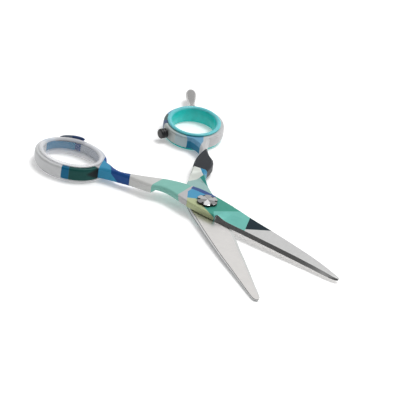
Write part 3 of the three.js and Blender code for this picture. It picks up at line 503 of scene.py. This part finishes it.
def steel_mat(name, angle, base, rough, across, along, bump, metal=1.0, tint2=None):
    M = Mat(name)
    n = M.noise(1.0, 4, M.stretched(angle, across, along), 0.65)
    lo = tuple(v * 0.90 for v in base); hi = tuple(min(0.97, v * 1.07) for v in base)
    M.set("Base Color", M.vary(M.mixc(n, lo, tint2 or hi), 0.05, 0.25))
    M.set("Metallic", metal)
    M.set("Roughness", M.math("ADD", rough - 0.06, M.math("MULTIPLY", n, 0.12)))
    M.set("Normal", M.bump(n, bump, 0.00001))
    return M.m
bevel_t = steel_mat("ground_bevel_thumb", A_THUMB, (0.52, 0.52, 0.52), 0.24, 9.0, 0.15, 0.5)
bevel_f = steel_mat("ground_bevel_finger", A_FINGER, (0.52, 0.52, 0.52), 0.24, 9.0, 0.15, 0.5)
inner_t = steel_mat("hollow_ground_inside_thumb", A_THUMB, (0.84, 0.82, 0.80), 0.30, 0.5, 7.0, 0.3)
inner_f = steel_mat("hollow_ground_inside_finger", A_FINGER, (0.84, 0.82, 0.80), 0.30, 0.5, 7.0, 0.3)
ride_t = steel_mat("honed_ride_line_thumb", A_THUMB, (0.80, 0.815, 0.80), 0.16, 9.0, 0.2, 0.15)
ride_f = steel_mat("honed_ride_line_finger", A_FINGER, (0.80, 0.815, 0.80), 0.16, 9.0, 0.2, 0.15)

def assign(ob, half, mats):
    """0 film, 1 bevel, 2 inside, 3 ride line; by place and slope."""
    for m in mats: ob.data.materials.append(m)
    t = rad(half.turn); c, k = math.cos(t), math.sin(t); sg = half.sign
    pn = Vector((SLOPE, 0, 1)).normalized()
    for f in ob.data.polygons:
        p = f.center * 1000 - OFF
        s = p.x * c + p.y * k; v = -p.x * k + p.y * c; w = sg * v
        n = f.normal
        inward = -sg * n.dot(pn)
        across = Vector((-k, c, 0)) * sg
        idx = 0
        hgt = sg * (p.z - planeZ(p.x))
        wi, wo = half.inner(s), half.outer(s)
        if inward > 0.97 and hgt < 0.6 and s > -9.5: 
            idx = 2
            if s > 9.3 and w < mix(wo, (wo + wi) / 2, 0.2) + 0.02: idx = 3
        elif s > 9.3 and w < wo + min(1.25, (wi - wo) * 0.28) + 0.01 and inward < 0.9:
            idx = 1
        elif s > 9.3 and inward > 0.9: idx = 2
        f.material_index = idx
assign(thumb, THUMB, [film_and_shade_thumb, bevel_t, inner_t, ride_t])
assign(finger, FINGER, [film_and_shade_finger, bevel_f, inner_f, ride_f])

# --- liners
M = Mat("clear_liner_plastic")
zs = M.nt.nodes.new("ShaderNodeSeparateXYZ"); M.link(M.p, zs.inputs[0]); z = zs.outputs[2]
edge = M.math("MAXIMUM", M.math("MULTIPLY", M.math("SUBTRACT", z, 6.35), 2.2, True), M.math("MULTIPLY", M.math("SUBTRACT", 3.1, z), 0.8, True))
M.set("Base Color", M.vary(M.mixc(edge, (0.86, 0.90, 0.94), (0.93, 0.93, 0.95)), 0.03, 0.5))
M.set("Alpha", M.mixf(edge, 0.10, 0.50))
M.set("Roughness", M.math("ADD", 0.12, M.math("MULTIPLY", M.noise(0.8, 3), 0.12)))
M.set("Normal", M.bump(M.noise(0.6, 2), 0.12, 0.00003))
M.b.inputs["IOR"].default_value = 1.49
clear = M.m
M = Mat("teal_liner_plastic")
zs = M.nt.nodes.new("ShaderNodeSeparateXYZ"); M.link(M.p, zs.inputs[0]); z = zs.outputs[2]
edge = M.math("MULTIPLY", M.math("SUBTRACT", z, 6.5), 1.6, True)
M.set("Base Color", M.vary(M.mixc(edge, (0.02, 0.62, 0.58), C(100, 196, 203)), 0.16, 0.35))
M.set("Roughness", M.math("ADD", 0.30, M.math("MULTIPLY", M.noise(0.8, 3), 0.14)))
M.set("Normal", M.bump(M.noise(1.2, 3), 0.15, 0.00003))
M.b.inputs["Subsurface Weight"].default_value = 0.25
M.b.inputs["Subsurface Radius"].default_value = (0.0006, 0.0012, 0.0012)
M.b.inputs["Subsurface Scale"].default_value = 1.0
teal = M.m

def plastic(name, base, rough, bump_scale, bump, vary=0.05):
    M = Mat(name)
    M.set("Base Color", M.vary(M.mixc(M.noise(0.8, 2), tuple(v * 0.93 for v in base), base), vary, 3.0))
    M.set("Roughness", M.math("ADD", rough - 0.06, M.math("MULTIPLY", M.noise(1.1, 3), 0.12)))
    M.set("Normal", M.bump(M.noise(bump_scale, 3), bump, 0.00003))
    return M.m
def turned(name, base, rough, axis_frame, ring_scale, bump, aniso=0.0):
    """Turned or polished metal with fine rings round the axis of axis_frame (pivot-centred mm)."""
    M = Mat(name)
    inv = (Matrix.Translation(OFF) @ axis_frame).inverted()
    rows = [inv[i] for i in range(3)]
    outs = []
    for r in rows:
        v = M.nt.nodes.new("ShaderNodeVectorMath"); v.operation = "DOT_PRODUCT"; M.link(M.p, v.inputs[0]); v.inputs[1].default_value = r[:3]
        outs.append(M.math("ADD", v.outputs["Value"], r[3]))
    rr = M.math("SQRT", M.math("ADD", M.math("MULTIPLY", outs[0], outs[0]), M.math("MULTIPLY", outs[1], outs[1])))
    cmb = M.nt.nodes.new("ShaderNodeCombineXYZ")
    M.link(M.math("MULTIPLY", rr, ring_scale), cmb.inputs[0]); M.link(M.math("MULTIPLY", outs[2], ring_scale), cmb.inputs[1])
    n = M.noise(1.0, 2, cmb.outputs[0])
    M.set("Base Color", M.vary(M.mixc(n, tuple(v * 0.93 for v in base), tuple(min(0.97, v * 1.04) for v in base)), 0.04, 0.6))
    M.set("Metallic", 1.0)
    M.set("Roughness", M.math("ADD", rough - 0.04, M.math("MULTIPLY", M.noise(0.9, 3), 0.10)))
    M.set("Normal", M.bump(n, bump, 0.00001))
    return M.m
# Painted reflection: the dial's side walls are near-black, standing for the dark reflections in the scallops.
painted_black_dial_walls = plastic("dial_walls_painted_dark_reflection", (0.012, 0.012, 0.013), 0.3, 4.0, 0.2, 0.1)
chrome = turned("dial_bright_chrome", (0.90, 0.90, 0.90), 0.12, PM, 6.0, 0.25)
rest_m = turned("finger_rest_polished", (0.43, 0.425, 0.42), 0.22, TANG_F, 5.0, 0.25)
stud_m = turned("pivot_stud_steel", (0.72, 0.72, 0.71), 0.25, PM, 7.0, 0.5)
click_m = turned("click_washer_steel", (0.62, 0.61, 0.60), 0.3, PM, 7.0, 0.5)
spring_m = turned("spring_washer_steel", (0.55, 0.54, 0.53), 0.28, PM, 7.0, 0.4)
peg_m = turned("bumper_peg_steel", (0.66, 0.66, 0.66), 0.28, BUMP_F, 6.0, 0.4)

rubber = plastic("bumper_rubber_black", (0.012, 0.012, 0.013), 0.38, 4.0, 0.4, 0.12)
oring_m = plastic("seal_ring_rubber", (0.014, 0.014, 0.014), 0.55, 5.0, 0.4, 0.12)
nylon_m = plastic("washer_nylon", (0.74, 0.73, 0.70), 0.45, 2.5, 0.25)
acetal_m = plastic("bushing_acetal", (0.62, 0.61, 0.57), 0.4, 2.5, 0.2)

for ob, m in ((thumb_insert, clear), (finger_insert, teal), (tang, rest_m), (oring, oring_m), (bumper, rubber), (dial, chrome)):
    ob.data.materials.append(m)
dial.data.materials.append(painted_black_dial_walls)
# Painted light and shade on the dial's faceted chrome top: each of the six facets gets a fixed grey, the one at -38
# degrees a near-white painted highlight and the rest darker painted shade, with near-black painted shadow at the outer
# ends of the six notches.
M = Mat("dial_chrome_painted_facet_light_shade")
hub = (PIVOT.x + 0.27, PIVOT.y); ring = M.noise(2.0, 2)
facet_painted_light_shade = (0.46, 0.46, 0.46)
for k, v in ((0, 0.92), (1, 0.34), (5, 0.34), (2, 0.60), (4, 0.60), (3, 0.44)):
    facet_painted_light_shade = M.mixc(M.wedge(hub, -38 + 60 * k - 30, -38 + 60 * k + 30), facet_painted_light_shade, (v, v, v))
for k in (1, 2, 3, 4, 5, 0):
    a = rad(-38 + 60 * k + 30); q = (hub[0] + 3.0 * math.cos(a), hub[1] + 3.0 * math.sin(a))
    facet_painted_light_shade = M.mixc(M.both(M.plane((*q, 0), (math.cos(a), math.sin(a), 0), 0.3), M.wedge(hub, math.degrees(a) - 9, math.degrees(a) + 9)), facet_painted_light_shade, (0.02, 0.02, 0.02))
M.set("Base Color", M.vary(facet_painted_light_shade, 0.05, 1.2)); M.set("Metallic", 1.0)
M.set("Roughness", M.math("ADD", 0.10, M.math("MULTIPLY", ring, 0.08)))
dial.material_slots[0].material = M.m
# Top faces take the chrome with painted facet light and shade; side walls take the near-black painted reflection.
for f in dial.data.polygons: f.material_index = 1 if f.normal.z < 0.8 else 0
for node, m in (("pivot_stud", stud_m), ("click_washer", click_m), ("spring_washer", spring_m), ("bumper_peg", peg_m), ("glide_washer", nylon_m), ("pivot_bushing", acetal_m)):
    o = frame["nodes"][node]
    if not o.material_slots: o.data.materials.append(m)
    for s in o.material_slots: s.material = m

for ob, body, node, slot in ((thumb, "thumb_half", "thumb_blade", "thumb_half_paint"), (thumb_insert, "thumb_half", "thumb_ring_insert", "clear_insert"),
                             (finger, "finger_half", "finger_blade", "finger_half_steel"), (finger_insert, "finger_half", "finger_ring_insert", "teal_insert"),
                             (tang, "finger_rest", "finger_rest", "rest_chrome"), (oring, "finger_rest_seal", "finger_rest_oring", "oring_rubber"),
                             (bumper, "finger_half", "bumper", "bumper_rubber"), (dial, "tension_dial", "tension_dial", "dial_chrome")):
    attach(ob, body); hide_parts(node)

# ------------------------------------------------------------------ camera, floor, light
t = rad(0)
bis = Vector((0.61039248, -0.79209912)); nb = Vector((0.79209912, 0.61039248)); Pw = Vector((-0.7891889, -6.7025725))
def to_row(W):
    """Table frame of the view (x right, y away, z up, mm) -> row frame."""
    w = Vector((W[0], W[1])) - Pw
    rx, ry = w.dot(Vector((bis.x, nb.x))), w.dot(Vector((bis.y, nb.y)))
    inv = Matrix(((bis.x, nb.x), (bis.y, nb.y))).inverted() @ w
    return Vector((inv.x, inv.y, W[2])) + Vector((PIVOT.x, PIVOT.y, OFF.z))
e, D = rad(28.2), 819.0
cam_pos = to_row((0, -D * math.cos(e), D * math.sin(e)))
origin = to_row((0, 0, 0))
R = (to_row((1, 0, 0)) - origin).normalized(); Fw = (origin - cam_pos).normalized()
U = R.cross(Fw).normalized()
roll = rad(8)
right = R * math.cos(roll) + U * math.sin(roll); up = -R * math.sin(roll) + U * math.cos(roll)
cam = bpy.data.cameras.new("view"); cam.lens = 169.0; cam.sensor_width = 36.0; cam.clip_start = 0.01; cam.clip_end = 50
co = bpy.data.objects.new("view", cam); scene.collection.objects.link(co)
rot = Matrix((right, up, -Fw)).transposed()
co.matrix_world = Matrix.Translation(cam_pos * 0.001) @ rot.to_4x4()
scene.camera = co

bm = bmesh.new(); bmesh.ops.create_circle(bm, cap_ends=True, segments=96, radius=4.0)
fm = bpy.data.meshes.new("floor"); bm.to_mesh(fm); bm.free()
floor = bpy.data.objects.new("floor", fm); scene.collection.objects.link(floor); floor.location.z = -0.00001
M = Mat("floor_matt_white")
M.set("Base Color", M.vary((0.90, 0.90, 0.90), 0.004, 0.02)); M.set("Roughness", 0.9)
M.b.inputs["Specular IOR Level"].default_value = 0.0
M.b.inputs["Emission Color"].default_value = (1, 1, 1, 1); M.b.inputs["Emission Strength"].default_value = 0.26
fm.materials.append(M.m)

back = -Vector((cam_pos.x - origin.x, cam_pos.y - origin.y, 0)).normalized()
toward = -back
sun_dir = (back * math.cos(rad(50)) + R * math.sin(rad(50))) * math.cos(rad(70)) + Vector((0, 0, math.sin(rad(70))))
sl = bpy.data.lights.new("softbox", "SUN"); sl.energy = 1.5; sl.angle = 0.4
so = bpy.data.objects.new("softbox", sl); scene.collection.objects.link(so)
so.rotation_euler = sun_dir.to_track_quat("Z", "Y").to_euler()

w = bpy.data.worlds.new("studio"); scene.world = w; w.use_nodes = True
nt = w.node_tree; bg = nt.nodes["Background"]
def wm(op, a, b=0.0, clamp=False):
    n = nt.nodes.new("ShaderNodeMath"); n.operation = op; n.use_clamp = clamp
    for s, v in ((n.inputs[0], a), (n.inputs[1], b)):
        if isinstance(v, bpy.types.NodeSocket): nt.links.new(v, s)
        else: s.default_value = v
    return n.outputs[0]
def wstep(a, b, x):
    n = nt.nodes.new("ShaderNodeMapRange"); n.interpolation_type = "SMOOTHSTEP"
    n.inputs["From Min"].default_value = a; n.inputs["From Max"].default_value = b
    nt.links.new(x, n.inputs["Value"]); return n.outputs["Result"]
tc = nt.nodes.new("ShaderNodeTexCoord")
dark_dir = (toward * math.cos(rad(30)) - R * math.sin(rad(30)))
def wdot(d):
    n = nt.nodes.new("ShaderNodeVectorMath"); n.operation = "DOT_PRODUCT"; nt.links.new(tc.outputs["Generated"], n.inputs[0]); n.inputs[1].default_value = d
    return n.outputs["Value"]
uz = wdot((0, 0, 1)); ud = wdot(dark_dir)
dk = wm("MULTIPLY", wm("MULTIPLY", wstep(-0.10, 0.38, ud), wstep(0.0, 0.12, uz)), wm("SUBTRACT", 1.0, wstep(0.80, 0.95, uz)))
L_SKY, L_DARK = 0.78, 0.12
strength = wm("ADD", wm("MULTIPLY", wm("SUBTRACT", 1.0, dk), L_SKY), wm("MULTIPLY", dk, L_DARK))
nt.links.new(strength, bg.inputs["Strength"])
bg.inputs["Color"].default_value = (1, 1, 1, 1)

scene.view_settings.view_transform = "Standard"
scene.view_settings.look = "None"
scene.view_settings.exposure = 0.0
scene.view_settings.gamma = 1.0
